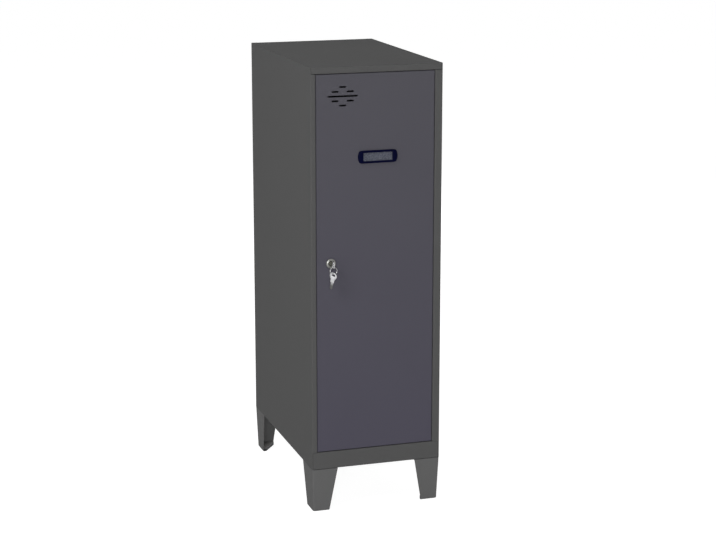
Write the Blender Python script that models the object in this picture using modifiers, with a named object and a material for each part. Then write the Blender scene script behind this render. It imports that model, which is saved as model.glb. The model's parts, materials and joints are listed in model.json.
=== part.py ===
"""Half-height metal locker: folded sheet carcass, inset door on concealed pivots, cam lock with keys."""
import math

import bmesh
import bpy
from mathutils import Matrix, Vector

MM = 0.001

# Overall size
WIDTH = 300 * MM
DEPTH = 500 * MM
HEIGHT = 1000 * MM
FOOT_HEIGHT = 100 * MM

# Sheet metal and fits
SHEET = 1.0 * MM              # steel of the carcass and the door
BEND = 2.0 * MM               # outside radius of a fold
BEND_STEPS = 3                # facets in a fold
SEAT = 0.3 * MM               # gap between pieces that touch
CUT_MARGIN = 5 * MM           # how far a cutter reaches past what it cuts
ROUND_STEPS = 24              # facets in a round piece
STUD_STEPS = 16               # facets in a stud

# Front frame
LOCK_STILE = 11.5 * MM        # face of the left upright
PIVOT_STILE = 17 * MM         # face of the right upright
RAIL = 14.5 * MM              # face above the door
SILL = 39.5 * MM              # face below the door
FRAME_LIP = 24 * MM           # fold behind the rail and the sill, which holds the pivots
FRAME_LIP_TAPER = 15 * MM     # how much shorter the lip's free edge is at each end
STOP_LIP = 9 * MM             # fold that the door closes against, on the lock side
REAR_FLANGE = 15 * MM         # fold at the back edge of a side panel
BACK_FIT = 0.7 * MM           # side clearance of the back panel in the folds

# Shelf
SHELF_DROP = 300 * MM         # from the top of the locker to the shelf
SHELF_SETBACK = 50 * MM       # from the front of the locker to the shelf
SHELF_FRONT = 25 * MM         # folded front edge
SHELF_HEM = 10 * MM           # return under the front edge
SHELF_REAR = 15 * MM          # upstand at the back
BRACKET_LEG = 18 * MM

# Door
DOOR_GAP = 0.8 * MM           # at the sides of the door
DOOR_END_GAP = 1.05 * MM      # above and below the door
DOOR_RECESS = 1.5 * MM        # behind the face of the frame
DOOR_DEPTH = 18 * MM
DOOR_LIP = 12 * MM
STIFFENER_CROWN = 30 * MM
STIFFENER_FLANGE = 12 * MM
STIFFENER_DEPTH = 13 * MM
STIFFENER_END = 6 * MM        # from its end to the door's folded edge
BUFFER_HEIGHT = 2.4 * MM
BUFFER_RADIUS = 2.9 * MM
BUFFER_INSET = 121.45 * MM    # from the ends of the door

# Door pivots
PIVOT_INSET = 26 * MM         # from the door's right edge
PIVOT_BACK = 7 * MM           # behind the door's face
PIN_RADIUS = 3 * MM
PIN_HEAD_RADIUS = 4.5 * MM
PIN_HEAD = 3 * MM
BUSH_WALL = 1.7 * MM
BUSH_COLLAR = 1.5 * MM        # width of the bush's collar
BUSH_COLLAR_DEPTH = 1.2 * MM
BUSH_REACH = 5 * MM           # how far the pin goes past the lip
BUSH_CAP = 1.5 * MM           # closed end of the bush

# Vent slots, in a diamond
VENT_INSET = 60.2 * MM        # from the door's left edge to the middle of the diamond
VENT_DROP = 48.15 * MM        # from the door's top edge to the middle of the diamond
SLOT_SHORT = 16 * MM
SLOT_LONG = 68 * MM
SLOT_HEIGHT = 3.8 * MM
SLOT_PITCH = 10 * MM          # between rows
SLOT_SPREAD = 17 * MM         # from the middle to each slot of a pair

# Card holder
LABEL_DROP = 182.45 * MM      # from the door's top edge to the middle of the holder
LABEL_INSET = 139.2 * MM      # from the door's left edge to the middle of the holder
LABEL_WIDTH = 90 * MM
LABEL_HEIGHT = 28 * MM
LABEL_BULGE = 4 * MM          # of the rounded ends
LABEL_DEPTH = 4 * MM
LABEL_EDGE = 0.8 * MM         # rounding of its edges
WINDOW_WIDTH = 66 * MM
WINDOW_HEIGHT = 18.5 * MM
WINDOW_SHEET = 0.8 * MM
CARD_SHEET = 0.5 * MM
CARD_MARGIN = 2.4 * MM        # hidden behind the holder's face

# Cam lock
LOCK_INSET = 32.5 * MM        # from the door's left edge
LOCK_DROP = 413.95 * MM       # from the door's top edge
HEAD_RADIUS = 11 * MM
HEAD_DEPTH = 3 * MM
HEAD_ROUND = 1.2 * MM
BARREL_RADIUS = 8 * MM
PLUG_RADIUS = 6 * MM
PLUG_INSET = 0.5 * MM         # plug's face behind the head's face
LOCK_NUT_RADIUS = 12 * MM
LOCK_NUT_DEPTH = 4 * MM
CAM_LENGTH = 36 * MM
CAM_WIDTH = 14 * MM
CAM_SHEET = 2.5 * MM
CAM_CLEARANCE = 1.5 * MM      # between the cam and the stop lip
CAM_SQUARE = 8 * MM
CAM_SCREW_RADIUS = 2 * MM
CAM_SCREW_HEAD = 4.8 * MM
CAM_SCREW_HEAD_DEPTH = 2.5 * MM
CAM_SCREW_LENGTH = 6 * MM

# Keys
KEY_SHEET = 2 * MM
BLADE_HEIGHT = 7 * MM
BLADE_LENGTH = 16 * MM
BLADE_TIP = 2.5 * MM
BITTING_DEPTH = 1.2 * MM
BITTING_PITCH = 3.2 * MM
BITTING_CUTS = 3
NECK_LENGTH = 6 * MM
NECK_WIDTH = 10 * MM
BOW_LENGTH = 17 * MM
BOW_WIDTH = 19 * MM
BOW_EDGE = 6 * MM             # from the end of the bow to the middle of its slot
BOW_SLOT_LENGTH = 11 * MM
BOW_SLOT_HEIGHT = 4.4 * MM
RING_RADIUS = 8 * MM
RING_WIRE = 0.6 * MM
RING_WIRE_STEPS = 8
SPARE_TWIST = math.radians(35)   # how far the spare key hangs turned from the ring's axis
SPARE_LEAN = math.radians(-13)   # how far it hangs out of upright
SPARE_SLACK = 0.3 * MM        # room in its slot for the slanting wire

# Feet, which taper and lean in towards the floor
FOOT_SHEET = 1.5 * MM
FOOT_BEND = 3 * MM
FOOT_FRONT_TOP = 59 * MM      # width of the front wall at the top
FOOT_FRONT_BASE = 38 * MM
FOOT_SIDE_TOP = 77 * MM       # width of the side wall at the top
FOOT_SIDE_BASE = 49 * MM
FOOT_LEAN_X = 3 * MM
FOOT_LEAN_Y = 6 * MM
GLIDE_HEIGHT = 8 * MM
GLIDE_DROP = 1 * MM           # how far the glide stands below the foot
GLIDE_NOSE = 6 * MM           # blunt end of the glide at each wall

# Weld studs that hold the feet
STUD_RADIUS = 3 * MM
STUD_TIP = 0.8 * MM           # chamfer at the free end
STUD_END = 2 * MM             # thread that shows past the nut
STUD_EDGE = 15 * MM           # from a stud to the edges of the foot's top plate
FOOT_NUT_RADIUS = 6 * MM
FOOT_NUT_DEPTH = 5 * MM

# Places worked out from the sizes above
DOOR_BACK = DOOR_RECESS + DOOR_DEPTH
STOP_DEPTH = DOOR_BACK + BUFFER_HEIGHT + 2 * SEAT
PLUG_FACE = HEAD_DEPTH - PLUG_INSET
KEY_SHOULDER = PLUG_FACE + SEAT
KEY_TIP = KEY_SHOULDER + NECK_LENGTH + BOW_LENGTH
RING_OUT = KEY_TIP - BOW_EDGE
SPARE_HANG = NECK_LENGTH + BOW_LENGTH - BOW_EDGE + BOW_SLOT_HEIGHT / 2 - RING_WIRE - SEAT - SPARE_SLACK
SPARE_MIDDLE = SPARE_HANG - NECK_LENGTH - BOW_LENGTH / 2
SPARE_BOW = math.hypot(BOW_WIDTH / 2 * math.cos(SPARE_LEAN), BOW_LENGTH / 2 * math.sin(SPARE_LEAN))
SPARE_EDGE = SPARE_BOW + SPARE_MIDDLE * math.sin(SPARE_LEAN)
SPARE_SWEEP = SPARE_EDGE * math.cos(SPARE_TWIST) + KEY_SHEET / 2 * abs(math.sin(SPARE_TWIST))
FRONT_REACH = max(KEY_TIP, RING_OUT + SPARE_SWEEP) - DOOR_RECESS
FRONT = (FRONT_REACH - DEPTH) / 2
BACK = FRONT + DEPTH
HALF = WIDTH / 2
TRAY_HALF = HALF - SHEET - SEAT
TRAY_BACK = BACK - 2 * (SHEET + SEAT)
DOOR_LEFT = -HALF + LOCK_STILE + DOOR_GAP
DOOR_RIGHT = HALF - PIVOT_STILE - DOOR_GAP
DOOR_BOTTOM = FOOT_HEIGHT + SILL + DOOR_END_GAP
DOOR_TOP = HEIGHT - RAIL - DOOR_END_GAP
DOOR_FRONT = FRONT + DOOR_RECESS
PIVOT_X = DOOR_RIGHT - PIVOT_INSET
PIVOT_Y = DOOR_FRONT + PIVOT_BACK
LOCK_X = DOOR_LEFT + LOCK_INSET
LOCK_Z = DOOR_TOP - LOCK_DROP
CAM_FACE = STOP_DEPTH - DOOR_RECESS + SHEET + CAM_CLEARANCE
RING_Y = DOOR_FRONT - RING_OUT
RING_TOP = LOCK_Z - BOW_SLOT_LENGTH / 2 + RING_WIRE + SEAT
RING_BASE = RING_TOP - 2 * RING_RADIUS
LABEL_X = DOOR_LEFT + LABEL_INSET
LABEL_Z = DOOR_TOP - LABEL_DROP
SHELF_Z = HEIGHT - SHELF_DROP

FACING_FRONT = Matrix.Rotation(math.radians(90), 4, "X")


def clear_scene():
    for obj in list(bpy.data.objects):
        bpy.data.objects.remove(obj, do_unlink=True)


def new_collection(name):
    collection = bpy.data.collections.new(name)
    bpy.context.scene.collection.children.link(collection)
    return collection


def srgb(red, green, blue):
    """Linear colour from the 0 to 255 values of a picture."""
    def linear(value):
        share = value / 255
        if share <= 0.04045:
            return share / 12.92
        return ((share + 0.055) / 1.055) ** 2.4
    return (linear(red), linear(green), linear(blue), 1.0)


def material(name, colour, roughness, metallic=0.0, alpha=1.0):
    made = bpy.data.materials.new(name)
    made.use_nodes = True
    shader = made.node_tree.nodes["Principled BSDF"]
    shader.inputs["Base Color"].default_value = colour
    shader.inputs["Roughness"].default_value = roughness
    shader.inputs["Metallic"].default_value = metallic
    shader.inputs["Alpha"].default_value = alpha
    return made


def add_object(name, mesh, finish, matrix=Matrix()):
    obj = bpy.data.objects.new(name, mesh)
    obj.matrix_world = matrix
    if finish is None:
        obj.hide_render = True
        obj.display_type = "WIRE"
        CUTTERS.objects.link(obj)
    else:
        mesh.materials.append(finish)
        PARTS.objects.link(obj)
    return obj


def mesh_from(name, bm):
    mesh = bpy.data.meshes.new(name)
    bm.to_mesh(mesh)
    bm.free()
    return mesh


def pivot(name, place, carrier=None):
    empty = bpy.data.objects.new(name, None)
    empty.location = place
    PARTS.objects.link(empty)
    bpy.context.view_layer.update()
    if carrier is not None:
        carry(carrier, empty)
    return empty


def carry(carrier, *pieces):
    """Hang pieces on an empty without moving them."""
    for piece in pieces:
        piece.parent = carrier
        piece.matrix_parent_inverse = carrier.matrix_world.inverted()
    bpy.context.view_layer.update()


def cut(obj, *cutters):
    for cutter in cutters:
        modifier = obj.modifiers.new("cut", "BOOLEAN")
        modifier.operation = "DIFFERENCE"
        modifier.solver = "EXACT"
        modifier.object = cutter


def fold_sheet(obj, thickness=SHEET):
    """Round the folds of an open surface, then give it the thickness of the sheet, inwards."""
    bend = obj.modifiers.new("bend", "BEVEL")
    bend.width = BEND
    bend.segments = BEND_STEPS
    bend.limit_method = "ANGLE"
    bend.angle_limit = math.radians(30)
    sheet = obj.modifiers.new("sheet", "SOLIDIFY")
    sheet.thickness = thickness
    sheet.offset = -1
    sheet.use_even_offset = True


def box(name, low, high, finish=None):
    bm = bmesh.new()
    bmesh.ops.create_cube(bm, size=1)
    low = Vector(low)
    high = Vector(high)
    size = Matrix.Diagonal(high - low).to_4x4()
    bmesh.ops.transform(bm, matrix=Matrix.Translation((low + high) / 2) @ size, verts=bm.verts)
    return add_object(name, mesh_from(name, bm), finish)


def rod(name, radius, low, high, matrix, finish=None, steps=ROUND_STEPS):
    """Round bar along the local Z axis."""
    bm = bmesh.new()
    middle = Matrix.Translation((0, 0, (low + high) / 2))
    bmesh.ops.create_cone(bm, cap_ends=True, segments=steps, radius1=radius, radius2=radius,
                          depth=high - low, matrix=middle)
    return add_object(name, mesh_from(name, bm), finish, matrix)


def turned(name, profile, matrix, finish, hollow=False, steps=ROUND_STEPS):
    """Turn a profile of radius and height pairs, listed down its outer side, about the local Z axis."""
    bm = bmesh.new()
    points = [bm.verts.new((radius, 0, height)) for radius, height in profile]
    for first, second in zip(points, points[1:]):
        bm.edges.new((first, second))
    if hollow:
        bm.edges.new((points[-1], points[0]))
    obj = add_object(name, mesh_from(name, bm), finish, matrix)
    screw = obj.modifiers.new("turn", "SCREW")
    screw.axis = "Z"
    screw.angle = math.tau
    screw.steps = steps
    screw.render_steps = steps
    screw.use_merge_vertices = True
    screw.merge_threshold = 0.00001
    return obj


def plate(name, loops, thickness, matrix, finish):
    """Flat plate from closed outlines in its own XY plane; a loop inside another is a hole."""
    curve = bpy.data.curves.new(name, "CURVE")
    curve.dimensions = "2D"
    curve.fill_mode = "BOTH"
    curve.extrude = thickness / 2
    for loop in loops:
        spline = curve.splines.new("POLY")
        spline.points.add(len(loop) - 1)
        for point, (along, across) in zip(spline.points, loop):
            point.co = (along, across, 0, 1)
        spline.use_cyclic_u = True
    drawn = bpy.data.objects.new(name + "_outline", curve)
    bpy.context.scene.collection.objects.link(drawn)
    seen = drawn.evaluated_get(bpy.context.evaluated_depsgraph_get())
    mesh = bpy.data.meshes.new_from_object(seen)
    bpy.data.objects.remove(drawn, do_unlink=True)
    bm = bmesh.new()
    bm.from_mesh(mesh)
    bmesh.ops.remove_doubles(bm, verts=bm.verts, dist=0.000001)
    if len(loops) == 1:
        bmesh.ops.dissolve_limit(bm, angle_limit=0.001, verts=bm.verts, edges=bm.edges)
    bmesh.ops.recalc_face_normals(bm, faces=bm.faces)
    bm.to_mesh(mesh)
    bm.free()
    mesh.name = name
    mesh.materials.clear()
    return add_object(name, mesh, finish, matrix)


def ribbon(name, path, run, outward, finish):
    """Folded strip: a path of points swept along run, with outward the outer side of its first stretch."""
    bm = bmesh.new()
    points = [bm.verts.new(point) for point in path]
    edges = [bm.edges.new(pair) for pair in zip(points, points[1:])]
    swept = bmesh.ops.extrude_edge_only(bm, edges=edges)["geom"]
    moved = [item for item in swept if isinstance(item, bmesh.types.BMVert)]
    bmesh.ops.translate(bm, verts=moved, vec=run)
    bmesh.ops.recalc_face_normals(bm, faces=bm.faces)
    middle = (Vector(path[0]) + Vector(path[1]) + Vector(run)) / 2
    first = min(bm.faces, key=lambda face: (face.calc_center_median() - middle).length)
    if first.normal.dot(Vector(outward)) < 0:
        bmesh.ops.reverse_faces(bm, faces=bm.faces)
    obj = add_object(name, mesh_from(name, bm), finish)
    fold_sheet(obj)
    return obj


def open_tray(low, high, open_side):
    """Box surface with the face towards open_side left off; gives the mesh and its rim edges."""
    bm = bmesh.new()
    bmesh.ops.create_cube(bm, size=1)
    low = Vector(low)
    high = Vector(high)
    size = Matrix.Diagonal(high - low).to_4x4()
    bmesh.ops.transform(bm, matrix=Matrix.Translation((low + high) / 2) @ size, verts=bm.verts)
    bm.normal_update()
    lid = max(bm.faces, key=lambda face: face.normal.dot(Vector(open_side)))
    rim = list(lid.edges)
    bmesh.ops.delete(bm, geom=[lid], context="FACES_ONLY")
    return bm, rim


def frame_tray(name, low, high, open_side, finish):
    """Tray whose front wall has a lip, for the rail over the door and the sill under it."""
    bm, rim = open_tray(low, high, open_side)
    front = min(rim, key=lambda edge: edge.verts[0].co.y + edge.verts[1].co.y)
    swept = bmesh.ops.extrude_edge_only(bm, edges=[front])["geom"]
    for vert in swept:
        if isinstance(vert, bmesh.types.BMVert):
            vert.co.y += FRAME_LIP
            vert.co.x -= math.copysign(FRAME_LIP_TAPER, vert.co.x)
    obj = add_object(name, mesh_from(name, bm), finish)
    fold_sheet(obj)
    return obj


def side_panel(name, side, finish):
    """One sheet: rear flange, side, upright and its return, with the stop lip on the lock side."""
    inward = -side
    outer = side * HALF
    stile = LOCK_STILE if side < 0 else PIVOT_STILE
    path = [
        (outer + inward * REAR_FLANGE, BACK, FOOT_HEIGHT),
        (outer, BACK, FOOT_HEIGHT),
        (outer, FRONT, FOOT_HEIGHT),
        (outer + inward * stile, FRONT, FOOT_HEIGHT),
        (outer + inward * stile, FRONT + STOP_DEPTH, FOOT_HEIGHT),
    ]
    reach = stile
    if side < 0:
        reach = stile + STOP_LIP
        path.append((outer + inward * reach, FRONT + STOP_DEPTH, FOOT_HEIGHT))
    obj = ribbon(name, path, (0, 0, HEIGHT - FOOT_HEIGHT), (0, 1, 0), finish)
    near = outer + inward * SHEET
    far = outer + inward * (reach + CUT_MARGIN)
    ends = {
        "_rail_notch": (HEIGHT - RAIL - SEAT, HEIGHT + CUT_MARGIN),
        "_sill_notch": (FOOT_HEIGHT - CUT_MARGIN, FOOT_HEIGHT + SILL + SEAT),
    }
    for suffix, (bottom, top) in ends.items():
        low = (min(near, far), FRONT - CUT_MARGIN, bottom)
        high = (max(near, far), FRONT + STOP_DEPTH + CUT_MARGIN, top)
        cut(obj, box(name + suffix, low, high))
    return obj


def carcass(finish):
    side_panel("left_side_panel", -1, finish)
    side_panel("right_side_panel", 1, finish)
    top = frame_tray("top_panel", (-TRAY_HALF, FRONT, HEIGHT - RAIL), (TRAY_HALF, TRAY_BACK, HEIGHT),
                     (0, 0, -1), finish)
    floor = frame_tray("floor_panel", (-TRAY_HALF, FRONT, FOOT_HEIGHT),
                       (TRAY_HALF, TRAY_BACK, FOOT_HEIGHT + SILL), (0, 0, 1), finish)
    back_half = HALF - SHEET - BACK_FIT
    back_outer = BACK - SHEET - SEAT
    box("back_panel", (-back_half, back_outer - SHEET, FOOT_HEIGHT), (back_half, back_outer, HEIGHT), finish)
    return top, floor


def shelf_set(finish):
    front = FRONT + SHELF_SETBACK
    rear = TRAY_BACK - SHEET - SEAT
    path = [
        (-TRAY_HALF, front + SHELF_HEM, SHELF_Z - SHELF_FRONT),
        (-TRAY_HALF, front, SHELF_Z - SHELF_FRONT),
        (-TRAY_HALF, front, SHELF_Z),
        (-TRAY_HALF, rear, SHELF_Z),
        (-TRAY_HALF, rear, SHELF_Z + SHELF_REAR),
    ]
    ribbon("shelf", path, (2 * TRAY_HALF, 0, 0), (0, 0, -1), finish)
    start = front + SHELF_HEM + SHEET
    length = rear - BEND - start
    top = SHELF_Z - SHEET - SEAT
    for name, side in (("shelf_bracket_left", -1), ("shelf_bracket_right", 1)):
        wall = side * TRAY_HALF
        path = [
            (wall - side * BRACKET_LEG, start, top),
            (wall, start, top),
            (wall, start, top - BRACKET_LEG),
        ]
        ribbon(name, path, (0, length, 0), (0, 0, 1), finish)


def pivot_set(top, floor, bush_finish, pin_finish):
    """A headed pin through each end of the door, in a closed bush set into the frame's lip from behind."""
    bush_radius = PIN_RADIUS + SEAT + BUSH_WALL
    collar_face = DOOR_END_GAP + SHEET + SEAT
    collar_end = collar_face + BUSH_COLLAR_DEPTH
    pin_end = DOOR_END_GAP + SHEET + BUSH_REACH
    bore_end = pin_end + SEAT
    head_top = -SHEET - SEAT
    pins = []
    for end, edge, tilt, panel in (("top", DOOR_TOP, 0, top), ("bottom", DOOR_BOTTOM, math.pi, floor)):
        place = Matrix.Translation((PIVOT_X, PIVOT_Y, edge)) @ Matrix.Rotation(tilt, 4, "X")
        turned("pivot_bush_" + end, [
            (0, bore_end + BUSH_CAP),
            (bush_radius, bore_end + BUSH_CAP),
            (bush_radius, collar_end),
            (bush_radius + BUSH_COLLAR, collar_end),
            (bush_radius + BUSH_COLLAR, collar_face),
            (bush_radius, collar_face),
            (bush_radius, DOOR_END_GAP),
            (PIN_RADIUS + SEAT, DOOR_END_GAP),
            (PIN_RADIUS + SEAT, bore_end),
            (0, bore_end),
        ], place, bush_finish)
        pins.append(turned("pivot_pin_" + end, [
            (0, pin_end),
            (PIN_RADIUS, pin_end),
            (PIN_RADIUS, head_top),
            (PIN_HEAD_RADIUS, head_top),
            (PIN_HEAD_RADIUS, head_top - PIN_HEAD),
            (0, head_top - PIN_HEAD),
        ], place, pin_finish))
        cut(panel, rod("bush_hole_" + end, bush_radius + SEAT, 0, pin_end, place))
    return pins


def skin_cutter():
    """Diamond of slots (one, two, a long one, two and one) and the round hole for the lock."""
    middle_x = DOOR_LEFT + VENT_INSET
    middle_z = DOOR_TOP - VENT_DROP
    rows = [
        (2, [0], SLOT_SHORT),
        (1, [-SLOT_SPREAD, SLOT_SPREAD], SLOT_SHORT),
        (0, [0], SLOT_LONG),
        (-1, [-SLOT_SPREAD, SLOT_SPREAD], SLOT_SHORT),
        (-2, [0], SLOT_SHORT),
    ]
    loops = [circle(BARREL_RADIUS + SEAT, (LOCK_X, LOCK_Z))]
    for row, offsets, length in rows:
        for offset in offsets:
            centre = (middle_x + offset, middle_z + row * SLOT_PITCH)
            loops.append(stadium(length, SLOT_HEIGHT, centre))
    place = Matrix.Translation((0, DOOR_FRONT, 0)) @ FACING_FRONT
    return plate("door_holes", loops, 2 * CUT_MARGIN, place, None)


def circle(radius, centre, steps=ROUND_STEPS):
    turns = [math.tau * step / steps for step in range(steps)]
    return [(centre[0] + radius * math.cos(turn), centre[1] + radius * math.sin(turn)) for turn in turns]


def stadium(length, height, centre, steps=6):
    """Outline of a slot with round ends."""
    radius = height / 2
    loop = []
    for end in (1, -1):
        for step in range(steps + 1):
            turn = math.pi * (step / steps - 0.5)
            along = end * (length / 2 - radius + radius * math.cos(turn))
            loop.append((centre[0] + along, centre[1] + end * radius * math.sin(turn)))
    return loop


def door_set(finish):
    low = (DOOR_LEFT, DOOR_FRONT, DOOR_BOTTOM)
    high = (DOOR_RIGHT, DOOR_FRONT + DOOR_DEPTH, DOOR_TOP)
    bm, rim = open_tray(low, high, (0, 1, 0))
    swept = bmesh.ops.extrude_edge_only(bm, edges=rim)["geom"]
    middle = (Vector(low) + Vector(high)) / 2
    for vert in swept:
        if isinstance(vert, bmesh.types.BMVert):
            vert.co.x += math.copysign(DOOR_LIP, middle.x - vert.co.x)
            vert.co.z += math.copysign(DOOR_LIP, middle.z - vert.co.z)
    door = add_object("door_panel", mesh_from("door_panel", bm), finish)
    fold_sheet(door)
    cut(door, rod("pivot_holes", PIN_RADIUS + SEAT, DOOR_BOTTOM - CUT_MARGIN, DOOR_TOP + CUT_MARGIN,
                  Matrix.Translation((PIVOT_X, PIVOT_Y, 0))))
    cut(door, skin_cutter())
    middle_x = (DOOR_LEFT + DOOR_RIGHT) / 2
    skin = DOOR_FRONT + SHEET + SEAT
    crown = STIFFENER_CROWN / 2
    foot = DOOR_BOTTOM + STIFFENER_END
    path = [
        (middle_x - crown - STIFFENER_FLANGE, skin, foot),
        (middle_x - crown, skin, foot),
        (middle_x - crown, skin + STIFFENER_DEPTH, foot),
        (middle_x + crown, skin + STIFFENER_DEPTH, foot),
        (middle_x + crown, skin, foot),
        (middle_x + crown + STIFFENER_FLANGE, skin, foot),
    ]
    length = DOOR_TOP - DOOR_BOTTOM - 2 * STIFFENER_END
    stiffener = ribbon("door_stiffener", path, (0, 0, length), (0, -1, 0), finish)
    return door, stiffener


def buffer_set(finish):
    """Rubber stops between the stop lip and the door."""
    seat_y = FRONT + STOP_DEPTH - SEAT
    middle_x = -HALF + LOCK_STILE + STOP_LIP - BUFFER_RADIUS - SEAT
    for name, height in (("top", DOOR_TOP - BUFFER_INSET), ("bottom", DOOR_BOTTOM + BUFFER_INSET)):
        place = Matrix.Translation((middle_x, seat_y, height)) @ FACING_FRONT
        rod("door_buffer_" + name, BUFFER_RADIUS, 0, BUFFER_HEIGHT, place, finish)


def label_outline(width, height, bulge, steps=8):
    """Rectangle whose short ends bulge outwards in an arc."""
    straight = width / 2 - bulge
    radius = (bulge ** 2 + (height / 2) ** 2) / (2 * bulge)
    sweep = math.asin(height / 2 / radius)
    centre = straight + bulge - radius
    loop = []
    for end in (1, -1):
        for step in range(steps + 1):
            turn = sweep * (2 * step / steps - 1)
            loop.append((end * (centre + radius * math.cos(turn)), end * radius * math.sin(turn)))
    return loop


def rectangle(width, height):
    right = width / 2
    top = height / 2
    return [(-right, -top), (right, -top), (right, top), (-right, top)]


def label_set(frame_finish, window_finish, card_finish):
    """Card holder with a pocket behind its face for the card and its clear cover."""
    def at(depth_low, depth_high):
        out = (depth_low + depth_high) / 2
        return Matrix.Translation((LABEL_X, DOOR_FRONT - out, LABEL_Z)) @ FACING_FRONT
    card_top = SEAT + CARD_SHEET
    window_low = card_top + SEAT
    window_top = window_low + WINDOW_SHEET
    pocket_top = window_top + SEAT
    back = SEAT
    pocket_width = WINDOW_WIDTH + 2 * CARD_MARGIN
    pocket_height = WINDOW_HEIGHT + 2 * CARD_MARGIN
    holder = plate("label_frame", [label_outline(LABEL_WIDTH, LABEL_HEIGHT, LABEL_BULGE)],
                   LABEL_DEPTH - back, at(back, LABEL_DEPTH), frame_finish)
    edge = holder.modifiers.new("edge", "BEVEL")
    edge.width = LABEL_EDGE
    edge.segments = 2
    edge.limit_method = "ANGLE"
    edge.angle_limit = math.radians(50)
    cut(holder, plate("label_opening", [rectangle(WINDOW_WIDTH, WINDOW_HEIGHT)], LABEL_DEPTH + CUT_MARGIN,
                      at(0, LABEL_DEPTH + CUT_MARGIN), None))
    cut(holder, plate("label_pocket", [rectangle(pocket_width, pocket_height)], pocket_top + CUT_MARGIN,
                      at(-CUT_MARGIN, pocket_top), None))
    inside = [rectangle(pocket_width - 2 * SEAT, pocket_height - 2 * SEAT)]
    card = plate("label_card", inside, CARD_SHEET, at(SEAT, card_top), card_finish)
    window = plate("label_window", inside, WINDOW_SHEET, at(window_low, window_top), window_finish)
    return holder, card, window


def lock_place():
    return Matrix.Translation((LOCK_X, DOOR_FRONT, LOCK_Z)) @ FACING_FRONT


def lock_set(metal):
    """Housing and nut on the door; plug, cam and screw that turn in it."""
    place = lock_place()
    bore = PLUG_RADIUS + SEAT
    shoulder = -CAM_FACE + SEAT
    boss_end = -CAM_FACE - CAM_SHEET - SEAT
    housing = turned("lock_housing", [
        (HEAD_RADIUS - HEAD_ROUND, HEAD_DEPTH),
        (HEAD_RADIUS, HEAD_DEPTH - HEAD_ROUND),
        (HEAD_RADIUS, SEAT),
        (BARREL_RADIUS, SEAT),
        (BARREL_RADIUS, shoulder + SEAT),
        (bore, shoulder + SEAT),
        (bore, HEAD_DEPTH),
    ], place, metal, hollow=True, steps=32)
    nut_face = -SHEET - SEAT
    nut = rod("lock_nut", LOCK_NUT_RADIUS, nut_face - LOCK_NUT_DEPTH, nut_face, place, metal, steps=6)
    cut(nut, rod("lock_nut_hole", BARREL_RADIUS + SEAT, -CAM_FACE, HEAD_DEPTH, place))
    plug = rod("lock_plug", PLUG_RADIUS, shoulder, PLUG_FACE, place, metal)
    boss = plate("plug_square", [rectangle(CAM_SQUARE, CAM_SQUARE)], shoulder + SEAT - boss_end,
                 place @ Matrix.Translation((0, 0, (shoulder + SEAT + boss_end) / 2)), None)
    joined = plug.modifiers.new("square", "BOOLEAN")
    joined.operation = "UNION"
    joined.solver = "EXACT"
    joined.object = boss
    keyway_depth = BLADE_LENGTH + 2 * SEAT
    keyway = plate("keyway", [rectangle(KEY_SHEET + 2 * SEAT, BLADE_HEIGHT + 2 * SEAT)],
                   keyway_depth + CUT_MARGIN,
                   place @ Matrix.Translation((0, 0, PLUG_FACE + (CUT_MARGIN - keyway_depth) / 2)), None)
    screw_top = boss_end - SEAT
    screw_tip = screw_top + CAM_SCREW_LENGTH
    screw_hole = rod("cam_screw_hole", CAM_SCREW_RADIUS + SEAT, boss_end - CUT_MARGIN, screw_tip + SEAT,
                     place)
    cut(plug, keyway, screw_hole)
    cam_hole = rectangle(CAM_SQUARE + 2 * SEAT, CAM_SQUARE + 2 * SEAT)
    cam = plate("lock_cam", [cam_outline(), cam_hole], CAM_SHEET,
                place @ Matrix.Translation((0, 0, -CAM_FACE - CAM_SHEET / 2)), metal)
    screw = turned("cam_screw", [
        (0, screw_tip),
        (CAM_SCREW_RADIUS, screw_tip),
        (CAM_SCREW_RADIUS, screw_top),
        (CAM_SCREW_HEAD, screw_top),
        (CAM_SCREW_HEAD, screw_top - CAM_SCREW_HEAD_DEPTH),
        (0, screw_top - CAM_SCREW_HEAD_DEPTH),
    ], place, metal)
    return (housing, nut), (plug, cam, screw)


def cam_outline(steps=10):
    """Tongue with a round end about the plug and a blunt rounded tip, hanging down."""
    radius = CAM_WIDTH / 2
    loop = []
    for step in range(steps + 1):
        turn = math.pi * step / steps
        loop.append((radius * math.cos(turn), radius * math.sin(turn)))
    chamfer = radius / 2
    tip = -CAM_LENGTH
    loop += [(-radius, tip + chamfer), (-chamfer, tip), (chamfer, tip), (radius, tip + chamfer)]
    return loop


def key_outline(steps=20):
    """Flat key along its own X axis: the shoulder at 0, the bow at plus X, the cut blade at minus X."""
    half_bow = BOW_WIDTH / 2
    middle = NECK_LENGTH + BOW_LENGTH / 2
    start = math.asin(NECK_WIDTH / 2 / half_bow)
    edge = BLADE_HEIGHT / 2
    point = BLADE_TIP / 2
    loop = [(-BLADE_LENGTH, point), (-BLADE_LENGTH, -point), (-BLADE_LENGTH + BLADE_TIP, -edge)]
    for number in range(BITTING_CUTS, 0, -1):
        place = -number * BITTING_PITCH
        depth = BITTING_DEPTH
        loop += [(place - depth, -edge), (place, -edge + depth), (place + depth, -edge)]
    loop += [(0, -edge), (0, -NECK_WIDTH / 2)]
    for step in range(steps + 1):
        turn = math.pi + start + (math.tau - 2 * start) * step / steps
        loop.append((middle + BOW_LENGTH / 2 * math.cos(turn), half_bow * math.sin(turn)))
    loop += [(0, NECK_WIDTH / 2), (0, edge), (-BLADE_LENGTH + BLADE_TIP, edge)]
    return loop


def key_loops():
    slot_x = NECK_LENGTH + BOW_LENGTH - BOW_EDGE
    slot = [(slot_x + across, along) for along, across in stadium(BOW_SLOT_LENGTH, BOW_SLOT_HEIGHT, (0, 0))]
    return [key_outline(), slot]


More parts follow.
